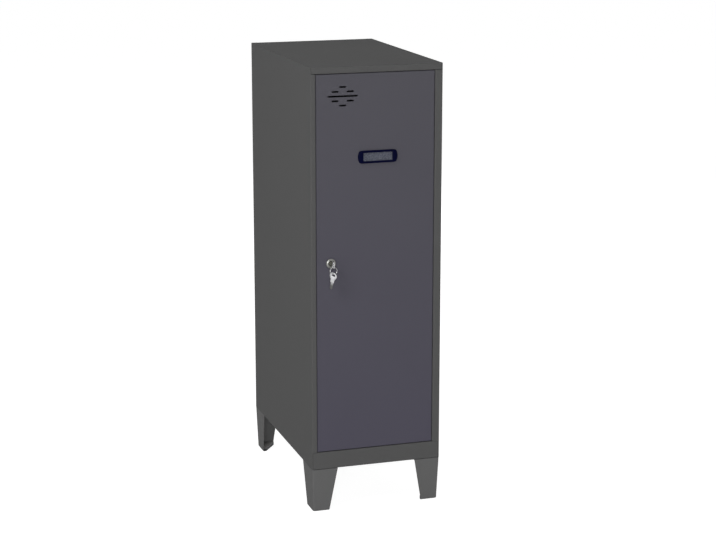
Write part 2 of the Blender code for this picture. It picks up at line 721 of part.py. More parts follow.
def key_set(metal):
    """The key in the lock, the ring through its bow, and the spare key on the ring."""
    facing_out = Matrix(((0, 0, -1, 0), (-1, 0, 0, 0), (0, 1, 0, 0), (0, 0, 0, 1)))
    hanging = Matrix(((0, 0, 1, 0), (0, -1, 0, 0), (1, 0, 0, 0), (0, 0, 0, 1)))
    shoulder = Matrix.Translation((LOCK_X, DOOR_FRONT - KEY_SHOULDER, LOCK_Z))
    key = plate("key", key_loops(), KEY_SHEET, shoulder @ facing_out, metal)
    wire = [(RING_RADIUS + RING_WIRE * math.cos(math.tau * step / RING_WIRE_STEPS),
             -RING_WIRE * math.sin(math.tau * step / RING_WIRE_STEPS)) for step in range(RING_WIRE_STEPS)]
    ring_place = Matrix.Translation((LOCK_X, RING_Y, RING_TOP - RING_RADIUS)) @ FACING_FRONT
    ring = turned("key_ring", wire, ring_place, metal, hollow=True)
    twisted = Matrix.Rotation(SPARE_TWIST, 4, "Z") @ hanging
    leaning = Matrix.Rotation(-SPARE_LEAN, 4, "Z") @ Matrix.Translation((-SPARE_HANG, 0, 0))
    spare_place = Matrix.Translation((LOCK_X, RING_Y, RING_BASE)) @ twisted @ leaning
    spare = plate("spare_key", key_loops(), KEY_SHEET, spare_place, metal)
    return key, ring, spare


def frustum(name, span, finish, bend):
    """Tapered block; span gives its corner points for a share along X, along Y and along Z."""
    bm = bmesh.new()
    bmesh.ops.create_cube(bm, size=1)
    outer_edge = []
    for vert in bm.verts:
        ends = tuple(int(value > 0) for value in vert.co)
        vert.co = span(*ends)
        if ends[0] == 0 and ends[1] == 0:
            outer_edge.append(vert)
    bm.normal_update()
    bmesh.ops.recalc_face_normals(bm, faces=bm.faces)
    corner = [edge for edge in bm.edges if all(vert in outer_edge for vert in edge.verts)]
    bmesh.ops.bevel(bm, geom=corner, offset=bend, segments=BEND_STEPS, profile=0.5, affect="EDGES")
    return add_object(name, mesh_from(name, bm), finish)


def foot_set(finish, glide_finish, stud_finish):
    """Four folded feet with their glides, each held by nuts on studs that are welded under the floor."""
    top = FOOT_HEIGHT - SEAT
    base = GLIDE_DROP
    plate_low = top - FOOT_SHEET
    stud_spots = ((FOOT_FRONT_TOP - STUD_EDGE, STUD_EDGE), (STUD_EDGE, FOOT_SIDE_TOP - STUD_EDGE))
    for front_name, rear in (("front", False), ("back", True)):
        for side_name, side in (("left", -1), ("right", 1)):
            corner = front_name + "_" + side_name

            def spot(along_x, along_y, height):
                edge_y = BACK - along_y if rear else FRONT + along_y
                return Vector((side * (HALF - along_x), edge_y, height))

            def lean(height):
                return (top - height) / (top - base)

            def outer(end_x, end_y, end_z):
                height = top if end_z else base
                share = lean(height)
                width = FOOT_FRONT_TOP + (FOOT_FRONT_BASE - FOOT_FRONT_TOP) * share
                depth = FOOT_SIDE_TOP + (FOOT_SIDE_BASE - FOOT_SIDE_TOP) * share
                return spot(FOOT_LEAN_X * share + end_x * width, FOOT_LEAN_Y * share + end_y * depth, height)

            def inner(end_x, end_y, end_z):
                height = plate_low if end_z else base - CUT_MARGIN
                share = lean(height)
                along_x = FOOT_FRONT_TOP + CUT_MARGIN if end_x else FOOT_LEAN_X * share + FOOT_SHEET
                along_y = FOOT_SIDE_TOP + CUT_MARGIN if end_y else FOOT_LEAN_Y * share + FOOT_SHEET
                return spot(along_x, along_y, height)

            foot = frustum("foot_" + corner, outer, finish, FOOT_BEND)
            cut(foot, frustum("foot_hollow_" + corner, inner, None, FOOT_BEND - FOOT_SHEET))
            glide(corner, spot, glide_finish)
            studs = [spot(along_x, along_y, FOOT_HEIGHT) for along_x, along_y in stud_spots]
            cut(foot, hole_cutter("foot_holes_" + corner, studs))
            for number, place in enumerate(studs, start=1):
                stud_and_nut(corner + "_" + str(number), Matrix.Translation(place), stud_finish)


def hole_cutter(name, places):
    loops = [circle(STUD_RADIUS + SEAT, place.xy, STUD_STEPS) for place in places]
    return plate(name, loops, 2 * CUT_MARGIN, Matrix.Translation((0, 0, FOOT_HEIGHT)), None)


def glide(corner, spot, finish):
    """Plastic corner piece that fills the angle of the foot at the floor."""
    inset_x = FOOT_LEAN_X + FOOT_SHEET + SEAT
    inset_y = FOOT_LEAN_Y + FOOT_SHEET + SEAT
    end_x = FOOT_LEAN_X + FOOT_FRONT_BASE
    end_y = FOOT_LEAN_Y + FOOT_SIDE_BASE
    relief = FOOT_BEND
    outline = [
        (inset_x + relief, inset_y),
        (end_x, inset_y),
        (end_x, inset_y + GLIDE_NOSE),
        (inset_x + GLIDE_NOSE, end_y),
        (inset_x, end_y),
        (inset_x, inset_y + relief),
    ]
    loop = [spot(along_x, along_y, 0).xy for along_x, along_y in outline]
    plate("foot_glide_" + corner, [loop], GLIDE_HEIGHT, Matrix.Translation((0, 0, GLIDE_HEIGHT / 2)), finish)


def stud_and_nut(label, place, finish):
    plate_low = -SEAT - FOOT_SHEET
    nut_top = plate_low - SEAT
    nut_low = nut_top - FOOT_NUT_DEPTH
    tip = nut_low - STUD_END
    turned("foot_stud_" + label, [
        (0, -SEAT),
        (STUD_RADIUS, -SEAT),
        (STUD_RADIUS, tip + STUD_TIP),
        (STUD_RADIUS - STUD_TIP, tip),
        (0, tip),
    ], place, finish, steps=STUD_STEPS)
    nut = rod("foot_nut_" + label, FOOT_NUT_RADIUS, nut_low, nut_top, place, finish, steps=6)
    cut(nut, rod("foot_nut_hole_" + label, STUD_RADIUS + SEAT, tip, 0, place, steps=STUD_STEPS))


def build():
    body_grey = material("body_grey", srgb(83, 83, 82), 0.55)
    door_grey = material("door_grey", srgb(80, 78, 86), 0.55)
    foot_grey = material("foot_grey", srgb(93, 93, 93), 0.5)
    black_plastic = material("black_plastic", srgb(28, 28, 30), 0.6)
    nylon = material("black_nylon", srgb(38, 38, 40), 0.5)
    rubber = material("grey_rubber", srgb(60, 60, 62), 0.8)
    steel = material("zinc_steel", srgb(170, 172, 175), 0.35, metallic=1.0)
    chrome = material("bright_nickel", srgb(205, 205, 208), 0.2, metallic=1.0)
    navy = material("navy_plastic", srgb(14, 14, 58), 0.35)
    clear = material("clear_plastic", srgb(235, 238, 242), 0.08, alpha=0.25)
    card_grey = material("grey_card", srgb(100, 102, 114), 0.8)

    door_pivot = pivot("door_pivot", (PIVOT_X, PIVOT_Y, DOOR_BOTTOM))
    lock_pivot = pivot("lock_pivot", (LOCK_X, DOOR_FRONT, LOCK_Z), door_pivot)
    key_slide = pivot("key_slide", (LOCK_X, DOOR_FRONT - KEY_SHOULDER, LOCK_Z), lock_pivot)
    ring_pivot = pivot("ring_pivot", (LOCK_X, RING_Y, RING_TOP), key_slide)
    spare_pivot = pivot("spare_pivot", (LOCK_X, RING_Y, RING_BASE), ring_pivot)

    top, floor = carcass(body_grey)
    shelf_set(body_grey)
    door, stiffener = door_set(door_grey)
    pins = pivot_set(top, floor, nylon, steel)
    buffer_set(rubber)
    labels = label_set(navy, clear, card_grey)
    lock_fixed, lock_turning = lock_set(chrome)
    key, ring, spare = key_set(chrome)
    foot_set(foot_grey, black_plastic, steel)

    carry(door_pivot, door, stiffener, *pins, *labels, *lock_fixed)
    carry(lock_pivot, *lock_turning)
    carry(key_slide, key)
    carry(ring_pivot, ring)
    carry(spare_pivot, spare)


clear_scene()
PARTS = new_collection("metal_locker")
CUTTERS = new_collection("metal_locker_cutters")
build()
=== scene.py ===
"""Looks of the metal locker: finishes, small fittings, stage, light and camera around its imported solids."""

import json
import math

import bmesh
import bpy
from mathutils import Matrix, Vector


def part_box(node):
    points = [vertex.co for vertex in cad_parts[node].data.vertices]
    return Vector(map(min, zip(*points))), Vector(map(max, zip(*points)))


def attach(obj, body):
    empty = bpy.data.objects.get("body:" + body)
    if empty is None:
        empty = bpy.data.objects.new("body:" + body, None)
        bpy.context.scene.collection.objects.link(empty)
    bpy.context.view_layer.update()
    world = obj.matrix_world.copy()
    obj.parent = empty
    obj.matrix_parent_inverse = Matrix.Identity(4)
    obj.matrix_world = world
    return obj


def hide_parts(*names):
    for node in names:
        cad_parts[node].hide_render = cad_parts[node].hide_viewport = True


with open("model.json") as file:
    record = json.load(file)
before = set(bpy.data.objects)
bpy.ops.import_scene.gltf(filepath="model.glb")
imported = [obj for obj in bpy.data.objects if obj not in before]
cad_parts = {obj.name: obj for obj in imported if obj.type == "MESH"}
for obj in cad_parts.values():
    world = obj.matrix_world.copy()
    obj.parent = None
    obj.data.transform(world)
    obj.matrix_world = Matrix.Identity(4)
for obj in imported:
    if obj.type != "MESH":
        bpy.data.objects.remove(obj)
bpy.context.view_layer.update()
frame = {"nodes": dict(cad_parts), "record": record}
NODES = frame["nodes"]
MM = 0.001
MERGE = 0.002 * MM            # points closer than this become one

# The photograph's camera
CAMERA_PLACE = (-1.2572, -4.0488, 1.4979)
CAMERA_YAW = 17.6608
CAMERA_PITCH = 13.3043
CAMERA_LENS = 94.254
CAMERA_SENSOR = 36.0

# Places that the solids give
DOOR_LOW, DOOR_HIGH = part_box("door_panel")
DOOR_FACE = DOOR_LOW.y
LOCK_LOW, LOCK_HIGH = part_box("lock_housing")
LOCK = Vector(((LOCK_LOW.x + LOCK_HIGH.x) / 2, DOOR_FACE, (LOCK_LOW.z + LOCK_HIGH.z) / 2))
LABEL_LOW, LABEL_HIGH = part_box("label_frame")
LABEL = Vector(((LABEL_LOW.x + LABEL_HIGH.x) / 2, DOOR_FACE, (LABEL_LOW.z + LABEL_HIGH.z) / 2))
RING_LOW, RING_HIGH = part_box("key_ring")
RING = (RING_LOW + RING_HIGH) / 2
GLIDE_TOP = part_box("foot_glide_front_left")[1].z
CORNERS = ("front_left", "front_right", "back_left", "back_right")
FASTENER_LABELS = [corner + "_" + number for corner in CORNERS for number in ("1", "2")]

FACING_FRONT = Matrix.Rotation(math.radians(90), 4, "X")
FACING_BACK = Matrix.Rotation(math.radians(-90), 4, "X")


def srgb(red, green, blue):
    """Linear colour from the 0 to 255 values of a picture."""
    def linear(value):
        share = value / 255
        if share <= 0.04045:
            return share / 12.92
        return ((share + 0.055) / 1.055) ** 2.4
    return (linear(red), linear(green), linear(blue), 1.0)


def scaled(colour, share):
    return tuple(value * share for value in colour[:3]) + (1.0,)


class Flow:
    """A socket in a node tree: sums on it add Math nodes, and node() adds any other node."""

    def __init__(self, tree, socket=None):
        self.tree = tree
        self.socket = socket

    def node(self, kind, settings=None, sockets=None, out=0):
        made = self.tree.nodes.new(kind)
        for name, value in (settings or {}).items():
            setattr(made, name, value)
        for name, value in (sockets or {}).items():
            for each in value if isinstance(value, list) else [value]:
                if isinstance(each, Flow):
                    self.tree.links.new(each.socket, made.inputs[name])
                else:
                    made.inputs[name].default_value = each
        return Flow(self.tree, made.outputs[out] if made.outputs else None)

    def math(self, operation, first, second=0.0):
        return self.node("ShaderNodeMath", {"operation": operation}, {0: first, 1: second})

    def mix(self, share, first, second):
        return self.node("ShaderNodeMix", {"data_type": "RGBA"}, {0: share, 6: first, 7: second}, out=2)

    def span(self, low, high):
        """From 0 at low to 1 at high, and level outside."""
        return self.node("ShaderNodeMapRange", {"clamp": True}, {0: self, 1: low, 2: high, 3: 0.0, 4: 1.0})

    def __add__(self, other):
        return self.math("ADD", self, other)

    def __radd__(self, other):
        return self.math("ADD", other, self)

    def __sub__(self, other):
        return self.math("SUBTRACT", self, other)

    def __rsub__(self, other):
        return self.math("SUBTRACT", other, self)

    def __mul__(self, other):
        return self.math("MULTIPLY", self, other)

    def __rmul__(self, other):
        return self.math("MULTIPLY", other, self)


# Finishes: how often each thing that varies repeats in a metre, and how far a tone is spread by it

PAINT_DRIFT = 5.0
PAINT_PEEL = 420.0
PAINT_GRAIN = 1900.0
PAINT_SHADES = (0.94, 1.06)
MOULD_CLOUD = 60.0
MOULD_GRAIN = 1500.0
MOULD_SHADES = (0.9, 1.1)
POLISH_LINES = 900.0
DULL_SPOTS = 240.0
DULL_SHADE = 0.82
KEY_RUBBING = 700.0
KEY_GREYED = (2 * MM, -8 * MM)        # along the key, from its own colour to the darker blade colour
ZINC_FLAKES = 380.0
SHADED_SOLE_EDGE = (3 * MM, 5.5 * MM)        # height of the painted shade at the glides' soles
SHADED_SOLE_RAGGED = 1.5 * MM
# Height where the painted light on the glides' tops begins
PAINTED_LIGHT_EDGE = (GLIDE_TOP - 0.4 * MM, GLIDE_TOP - 0.1 * MM)
COVER_SCUFFS = 160.0
CARD_FIBRES = 500.0


def new_finish(name):
    """New material: gives it, its flow and its object coordinates."""
    made = bpy.data.materials.new(name)
    made.use_nodes = True
    made.node_tree.nodes.clear()
    flow = Flow(made.node_tree)
    place = flow.node("ShaderNodeTexCoord", out=3)
    return made, flow, place


def noise(flow, place, scale, detail=2.0):
    return flow.node("ShaderNodeTexNoise", None, {"Vector": place, "Scale": scale, "Detail": detail})


def height_of(flow, place):
    return flow.node("ShaderNodeSeparateXYZ", None, {0: place}, out="Z")


def bumped(flow, height, strength, distance):
    return flow.node("ShaderNodeBump", None, {"Strength": strength, "Distance": distance, "Height": height})


def shaded(flow, **sockets):
    """End a material in a Principled shader; the names of its sockets are given with underscores."""
    names = {name.replace("_", " "): value for name, value in sockets.items()}
    shader = flow.node("ShaderNodeBsdfPrincipled", None, names)
    flow.node("ShaderNodeOutputMaterial", None, {"Surface": shader})


def powder_coat(name, colour, shaded_low_colour=None):
    """Stoved powder paint: orange peel, a finer grain and a slow drift; a low colour darkens the door towards its
    lower end as painted shade.
    """
    made, flow, place = new_finish(name)
    drift = noise(flow, place, PAINT_DRIFT, 3.0)
    peel = noise(flow, place, PAINT_PEEL)
    grain = noise(flow, place, PAINT_GRAIN, 1.0)
    shades = [scaled(colour, share) for share in PAINT_SHADES]
    # Painted shade: the door's colour darkens towards its lower end, where less light falls.
    if shaded_low_colour:
        rise = height_of(flow, place).span(DOOR_LOW.z, DOOR_HIGH.z)
        shades = [flow.mix(rise, scaled(shaded_low_colour, share), shade) for share, shade in zip(PAINT_SHADES, shades)]
    tone = (drift - 0.5) * 0.5 + (grain - 0.5) * 0.7 + 0.5
    base = flow.mix(tone.span(0.0, 1.0), *shades)
    rough = 0.74 + (peel - 0.5) * 0.16 + (drift - 0.5) * 0.1
    shaded(flow, Base_Color=base, Roughness=rough, Specular_IOR_Level=0.03,
           Normal=bumped(flow, peel * 0.7 + grain * 0.3, 0.18, 0.4 * MM))
    return made


def moulded(name, colour, roughness, specular, bump=0.12):
    """Moulded plastic or rubber with a fine spark-eroded grain."""
    made, flow, place = new_finish(name)
    grain = noise(flow, place, MOULD_GRAIN)
    cloud = noise(flow, place, MOULD_CLOUD)
    base = flow.mix(cloud.span(0.3, 0.7), *[scaled(colour, share) for share in MOULD_SHADES])
    rough = roughness + (grain - 0.5) * 0.2
    shaded(flow, Base_Color=base, Roughness=rough, Specular_IOR_Level=specular,
           Normal=bumped(flow, grain, bump, 0.3 * MM))
    return made


def plated(name, colour, roughness, brushing, stretch=(1.0, 1.0, 1.0)):
    """Bright plated metal with faint polishing lines and a few dull spots."""
    made, flow, place = new_finish(name)
    drawn = flow.node("ShaderNodeMapping", None, {"Vector": place, "Scale": stretch})
    lines = noise(flow, drawn, POLISH_LINES, 3.0)
    spots = noise(flow, place, DULL_SPOTS)
    base = flow.mix(spots.span(0.35, 0.75), colour, scaled(colour, DULL_SHADE))
    rough = roughness + (lines - 0.5) * brushing + spots.span(0.55, 0.8) * 0.1
    shaded(flow, Base_Color=base, Roughness=rough, Metallic=1.0,
           Normal=bumped(flow, lines, 0.05, 0.1 * MM))
    return made


def key_plate(name, colour, darker_blade):
    """Plated key whose blade is darker, more towards its tip."""
    made, flow, place = new_finish(name)
    along = flow.node("ShaderNodeAttribute", {"attribute_name": "along"}, out="Fac")
    rubbed = noise(flow, place, KEY_RUBBING, 3.0)
    spots = noise(flow, place, DULL_SPOTS)
    clean = flow.mix(spots.span(0.35, 0.75), colour, scaled(colour, DULL_SHADE))
    greyed = along.span(*KEY_GREYED)
    base = flow.mix(greyed * (0.8 + rubbed * 0.4), clean, darker_blade)
    rough = 0.24 + (rubbed - 0.5) * 0.12 + greyed * 0.2
    shaded(flow, Base_Color=base, Roughness=rough, Metallic=1.0, Normal=bumped(flow, rubbed, 0.05, 0.1 * MM))
    return made


def zinc(name):
    """Zinc plate with its patchy dull and bright spangle."""
    made, flow, place = new_finish(name)
    flakes = flow.node("ShaderNodeTexVoronoi", {"feature": "F1"}, {"Vector": place, "Scale": ZINC_FLAKES}, out=1)
    grey = flow.node("ShaderNodeSeparateColor", None, {0: flakes})
    base = flow.mix(grey, srgb(150, 152, 156), srgb(186, 187, 188))
    rough = 0.3 + grey * 0.18
    shaded(flow, Base_Color=base, Roughness=rough, Metallic=1.0)
    return made


def glide_plastic(name, colour, shaded_sole, painted_light_top):
    """Moulded glide, darkened at its sole as painted shade where it meets the floor, and paler on its top as
    painted light on a face that the locker shades.
    """
    made, flow, place = new_finish(name)
    grain = noise(flow, place, MOULD_GRAIN)
    height = height_of(flow, place)
    # The dark sole is painted shade where the glide meets the floor.
    edge = height + (grain - 0.5) * SHADED_SOLE_RAGGED
    clean = flow.mix(edge.span(*SHADED_SOLE_EDGE), shaded_sole, colour)
    # The pale top is painted light on a face that the locker shades.
    base = flow.mix(height.span(*PAINTED_LIGHT_EDGE) * (0.7 + grain * 0.6), clean, painted_light_top)
    shaded(flow, Base_Color=base, Roughness=0.6 + (grain - 0.5) * 0.2, Specular_IOR_Level=0.08,
           Normal=bumped(flow, grain, 0.12, 0.3 * MM))
    return made


def clear_cover(name):
    """Thin clear plastic: nearly see-through, with a gloss and faint scuffs."""
    made, flow, place = new_finish(name)
    scuffs = noise(flow, place, COVER_SCUFFS, 4.0)
    shaded(flow, Base_Color=srgb(150, 156, 168), Roughness=0.12 + scuffs.span(0.5, 0.8) * 0.12,
           Alpha=0.05 + scuffs.span(0.5, 0.9) * 0.03, Specular_IOR_Level=0.12)
    return made


def card_stock(name):
    """Plain paper card with short fibres."""
    made, flow, place = new_finish(name)
    drawn = flow.node("ShaderNodeMapping", None, {"Vector": place, "Scale": (1.0, 1.0, 5.0)})
    fibre = noise(flow, drawn, CARD_FIBRES, 3.0)
    base = flow.mix(fibre, srgb(70, 72, 82), srgb(76, 78, 88))
    shaded(flow, Base_Color=base, Roughness=0.9, Specular_IOR_Level=0.05,
           Normal=bumped(flow, fibre, 0.04, 0.2 * MM))
    return made


FINISHES = {
    "body_paint": powder_coat("body_powder_coat", srgb(82, 82, 82)),
    # The door's second colour is painted shade, darker towards its lower end.
    "door_paint": powder_coat("door_powder_coat", srgb(80, 79, 85), srgb(77, 75, 86)),
    "foot_paint": powder_coat("foot_powder_coat", srgb(96, 96, 96)),
    # The glide's near-black sole is painted shade and its pale top is painted light.
    "black_plastic": glide_plastic("glide_plastic", srgb(70, 70, 72), srgb(20, 20, 21), srgb(124, 123, 121)),
    "nylon": moulded("bush_nylon", srgb(34, 34, 36), 0.55, 0.1, 0.05),
    "rubber": moulded("buffer_rubber", srgb(58, 58, 60), 0.8, 0.1),
    "zinc_steel": zinc("zinc_plate"),
    "nickel": plated("bright_nickel", srgb(190, 190, 189), 0.24, 0.12, (1.0, 0.06, 1.0)),
    "navy_plastic": moulded("holder_plastic", srgb(2, 4, 33), 0.45, 0.025, 0.05),
    "clear_plastic": clear_cover("holder_cover"),
    "card": card_stock("holder_card"),
}
LOCK_NICKEL = plated("lock_nickel", srgb(128, 128, 125), 0.3, 0.12, (1.0, 0.06, 1.0))
# The key's second colour darkens its blade towards the tip.
KEY_NICKEL = key_plate("key_nickel", srgb(186, 186, 188), srgb(98, 98, 97))
# The plug's darker nickel is painted shade of its recess.
SHADED_PLUG_NICKEL = plated("plug_nickel_painted_shade", srgb(76, 76, 69), 0.4, 0.15)
PIN_STEEL = plated("phosphated_pin_steel", srgb(92, 92, 93), 0.5, 0.15)


def dress_solids():
    """Give each solid the finish of its slot; the plug and the pins have their own, the plug's darkened as painted
    shade of its recess.
    """
    for entry in frame["record"]["subparts"]:
        solid = NODES[entry["node"]]
        solid.data.materials.clear()
        solid.data.materials.append(FINISHES[entry["material_slot"]])
    NODES["lock_plug"].data.materials[0] = SHADED_PLUG_NICKEL
    for end in ("top", "bottom"):
        NODES["pivot_pin_" + end].data.materials[0] = PIN_STEEL


def add_piece(name, mesh, finish, body, replaced=(), crease=35.0, look=None):
    """Put a finished mesh in the scene, on a body, in place of the solids it stands for."""
    bm = bmesh.new()
    bm.from_mesh(mesh)
    bmesh.ops.remove_doubles(bm, verts=bm.verts, dist=MERGE)
    bmesh.ops.recalc_face_normals(bm, faces=bm.faces)
    for face in bm.faces:
        face.smooth = True
    for edge in bm.edges:
        edge.smooth = len(edge.link_faces) == 2 and edge.calc_face_angle(0.0) < math.radians(crease)
    bm.to_mesh(mesh)
    bm.free()
    mesh.materials.clear()
    mesh.materials.append(look or FINISHES[finish])
    obj = bpy.data.objects.new(name, mesh)
    bpy.context.scene.collection.objects.link(obj)
    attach(obj, body)
    if replaced:
        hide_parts(*replaced)


def baked(obj):
    """The plain mesh of an object with its modifiers, which then goes."""
    seen = obj.evaluated_get(bpy.context.evaluated_depsgraph_get())
    mesh = bpy.data.meshes.new_from_object(seen)
    mesh.transform(obj.matrix_world)
    bpy.data.objects.remove(obj, do_unlink=True)
    return mesh


def loose(name, data, matrix=Matrix()):
    """Put data in the scene as an object at a place."""
    obj = bpy.data.objects.new(name, data)
    bpy.context.scene.collection.objects.link(obj)
    obj.matrix_world = matrix
    bpy.context.view_layer.update()
    return obj


def lathe(profile, matrix, steps=64):
    """Mesh of a profile of radius and height pairs turned about the local Z axis."""
    bm = bmesh.new()
    line = [bm.verts.new((radius, 0, height)) for radius, height in profile]
    edges = [bm.edges.new(pair) for pair in zip(line, line[1:])]
    bmesh.ops.spin(bm, geom=line + edges, cent=(0, 0, 0), axis=(0, 0, 1), angle=math.tau, steps=steps,
                   use_merge=True, use_duplicate=False)
    bmesh.ops.remove_doubles(bm, verts=bm.verts, dist=MERGE)
    bmesh.ops.transform(bm, matrix=matrix, verts=bm.verts)
    mesh = bpy.data.meshes.new("turned")
    bm.to_mesh(mesh)
    bm.free()
    return mesh


def arc(centre, radius, start, end, steps):
    """Points on a circle from one angle to another, in degrees."""
    turns = [math.radians(start + (end - start) * step / steps) for step in range(steps + 1)]
    return [(centre[0] + radius * math.cos(turn), centre[1] + radius * math.sin(turn)) for turn in turns]


def rounded_plate(name, loops, thickness, edge, matrix):
    """Flat plate with softened edges; a loop inside another is a hole."""
    curve = bpy.data.curves.new(name, "CURVE")
    curve.dimensions = "2D"
    curve.fill_mode = "BOTH"
    curve.extrude = thickness / 2 - edge
    curve.bevel_depth = edge
    curve.bevel_resolution = 2
    curve.offset = -edge
    for loop in loops:
        spline = curve.splines.new("POLY")
        spline.points.add(len(loop) - 1)
        for point, (along, across) in zip(spline.points, loop):
            point.co = (along, across, 0, 1)
        spline.use_cyclic_u = True
    return baked(loose(name, curve, matrix))


def stadium(length, height, steps=10):
    """Outline of a slot with round ends."""
    radius = height / 2
    half = length / 2 - radius
    return arc((half, 0), radius, -90, 90, steps) + arc((-half, 0), radius, 90, 270, steps)


# Lock and keys, in the sizes of their solids

HEAD_RADIUS = 11 * MM
HEAD_DEPTH = 3 * MM
HEAD_CREST = 0.7 * MM         # from the bore to the highest line of the face
HEAD_RIM = 0.8 * MM
PLUG_SINK = 0.5 * MM          # from the head's face to the plug's
BARREL_RADIUS = 8 * MM
BORE_RADIUS = 6.3 * MM
SEAT = 0.3 * MM
KEY_SHEET = 2 * MM
KEY_EDGE = 0.3 * MM
BLADE_HEIGHT = 7 * MM
BLADE_LENGTH = 16 * MM
BLADE_TIP = 2.5 * MM
BITTING_DEPTH = 1.2 * MM
BITTING_PITCH = 3.2 * MM
NECK_LENGTH = 6 * MM
NECK_WIDTH = 10 * MM
BOW_LENGTH = 17 * MM
BOW_WIDTH = 19 * MM
BOW_EDGE = 6 * MM
BOW_SLOT = (11 * MM, 4.4 * MM)
RING_RADIUS = 8 * MM
RING_WIRE = 0.6 * MM
COIL = {"Radius": RING_RADIUS, "Wire": 0.5 * MM, "Rise": 1.05 * MM, "Turns": 2.0}
BARREL_THREAD = 0.32 * MM     # half the thread's wire
BARREL_PITCH = 1.0 * MM
BARREL_START = 0.8 * MM       # from the nut to the thread
BARREL_SHORT = 1.5 * MM       # what the thread leaves free at both ends together
SPARE_TWIST = math.radians(35)
SPARE_LEAN = math.radians(-13)
SPARE_SLACK = 0.3 * MM


def lock_head():
    """Bright head whose face curves down from the plug to its rim."""
    back = LOCK_HIGH.y - DOOR_FACE
    crest = BORE_RADIUS + HEAD_CREST
    unit = arc((0, 0), 1.0, 90, 0, 12)
    crown = [(crest + (HEAD_RADIUS - crest) * along, HEAD_RIM + (HEAD_DEPTH - HEAD_RIM) * height)
             for along, height in unit]
    profile = [
        (BORE_RADIUS, HEAD_DEPTH - PLUG_SINK),
        (BORE_RADIUS + 0.3 * MM, HEAD_DEPTH - 0.1 * MM),
        *crown,
        (HEAD_RADIUS, SEAT),
        (BARREL_RADIUS, SEAT),
        (BARREL_RADIUS, -back),
        (BORE_RADIUS, -back),
        (BORE_RADIUS, HEAD_DEPTH - PLUG_SINK),
    ]
    place = Matrix.Translation(LOCK) @ FACING_FRONT
    add_piece("lock_head", lathe(profile, place), "nickel", "door", ["lock_housing"], look=LOCK_NICKEL)


def key_outline():
    """Flat key along its own X axis: the shoulder at 0, the bow at plus X, the cut blade at minus X."""
    half_bow = BOW_WIDTH / 2
    middle = NECK_LENGTH + BOW_LENGTH / 2
    start = math.degrees(math.asin(NECK_WIDTH / 2 / half_bow))
    edge = BLADE_HEIGHT / 2
    point = BLADE_TIP / 2
    loop = [(-BLADE_LENGTH, point), (-BLADE_LENGTH, -point), (-BLADE_LENGTH + BLADE_TIP, -edge)]
    for number in (3, 2, 1):
        place = -number * BITTING_PITCH
        depth = BITTING_DEPTH
        loop += [(place - depth, -edge), (place, -edge + depth), (place + depth, -edge)]
    loop += [(0, -edge), (0, -NECK_WIDTH / 2)]
    unit = arc((0, 0), 1.0, 180 + start, 540 - start, 40)
    loop += [(middle + BOW_LENGTH / 2 * along, half_bow * across) for along, across in unit]
    loop += [(0, NECK_WIDTH / 2), (0, edge), (-BLADE_LENGTH + BLADE_TIP, edge)]
    return loop


def key_mesh(name, matrix):
    """Key with its slot, and with the place along it as an attribute for its finish."""
    slot_x = NECK_LENGTH + BOW_LENGTH - BOW_EDGE
    slot = [(slot_x + across, along) for along, across in stadium(*BOW_SLOT)]
    mesh = rounded_plate(name, [key_outline(), slot], KEY_SHEET, KEY_EDGE, matrix)
    along = mesh.attributes.new("along", "FLOAT", "POINT")
    back = matrix.inverted()
    for vert, value in zip(mesh.vertices, along.data):
        value.value = (back @ vert.co).x
    return mesh


def keys():
    """The key in the lock, and the spare one that hangs on the ring."""
    facing_out = Matrix(((0, 0, -1, 0), (-1, 0, 0, 0), (0, 1, 0, 0), (0, 0, 0, 1)))
    hanging = Matrix(((0, 0, 1, 0), (0, -1, 0, 0), (1, 0, 0, 0), (0, 0, 0, 1)))
    shoulder = HEAD_DEPTH - PLUG_SINK + SEAT
    place = Matrix.Translation(LOCK + Vector((0, -shoulder, 0))) @ facing_out
    add_piece("lock_key", key_mesh("lock_key", place), "nickel", "key_in_lock", ["key"], look=KEY_NICKEL)
    held = NECK_LENGTH + BOW_LENGTH - BOW_EDGE + BOW_SLOT[1] / 2 - RING_WIRE - SEAT - SPARE_SLACK
    twisted = Matrix.Rotation(SPARE_TWIST, 4, "Z") @ hanging
    leaning = Matrix.Rotation(-SPARE_LEAN, 4, "Z") @ Matrix.Translation((-held, 0, 0))
    place = Matrix.Translation((RING.x, RING.y, RING.z - RING_RADIUS)) @ twisted @ leaning
    add_piece("hanging_spare_key", key_mesh("hanging_spare_key", place), "nickel", "hanging_key", ["spare_key"],
              look=KEY_NICKEL)


# Geometry Nodes pieces

def new_tree(name, sizes):
    """Geometry tree with named sizes: gives the tree, its flow, its inputs by name and its sockets' identifiers."""
    tree = bpy.data.node_groups.new(name, "GeometryNodeTree")
    tree.interface.new_socket("Geometry", in_out="INPUT", socket_type="NodeSocketGeometry")
    identifiers = {}
    for label, value in sizes.items():
        socket = tree.interface.new_socket(label, in_out="INPUT", socket_type="NodeSocketFloat")
        socket.default_value = value
        identifiers[label] = socket.identifier
    tree.interface.new_socket("Geometry", in_out="OUTPUT", socket_type="NodeSocketGeometry")
    start = tree.nodes.new("NodeGroupInput")
    inputs = {socket.name: Flow(tree, socket) for socket in start.outputs if socket.name}
    return tree, Flow(tree), inputs, identifiers


def end_tree(tree, flow, shape, finish):
    """Smooth, make real and dress what a tree has made."""
    smooth = flow.node("GeometryNodeSetShadeSmooth", None, {"Geometry": shape})
    real = flow.node("GeometryNodeRealizeInstances", None, {"Geometry": smooth})
    dressed = flow.node("GeometryNodeSetMaterial", None, {"Geometry": real, "Material": FINISHES[finish]})
    end = tree.nodes.new("NodeGroupOutput")
    tree.links.new(dressed.socket, end.inputs[0])


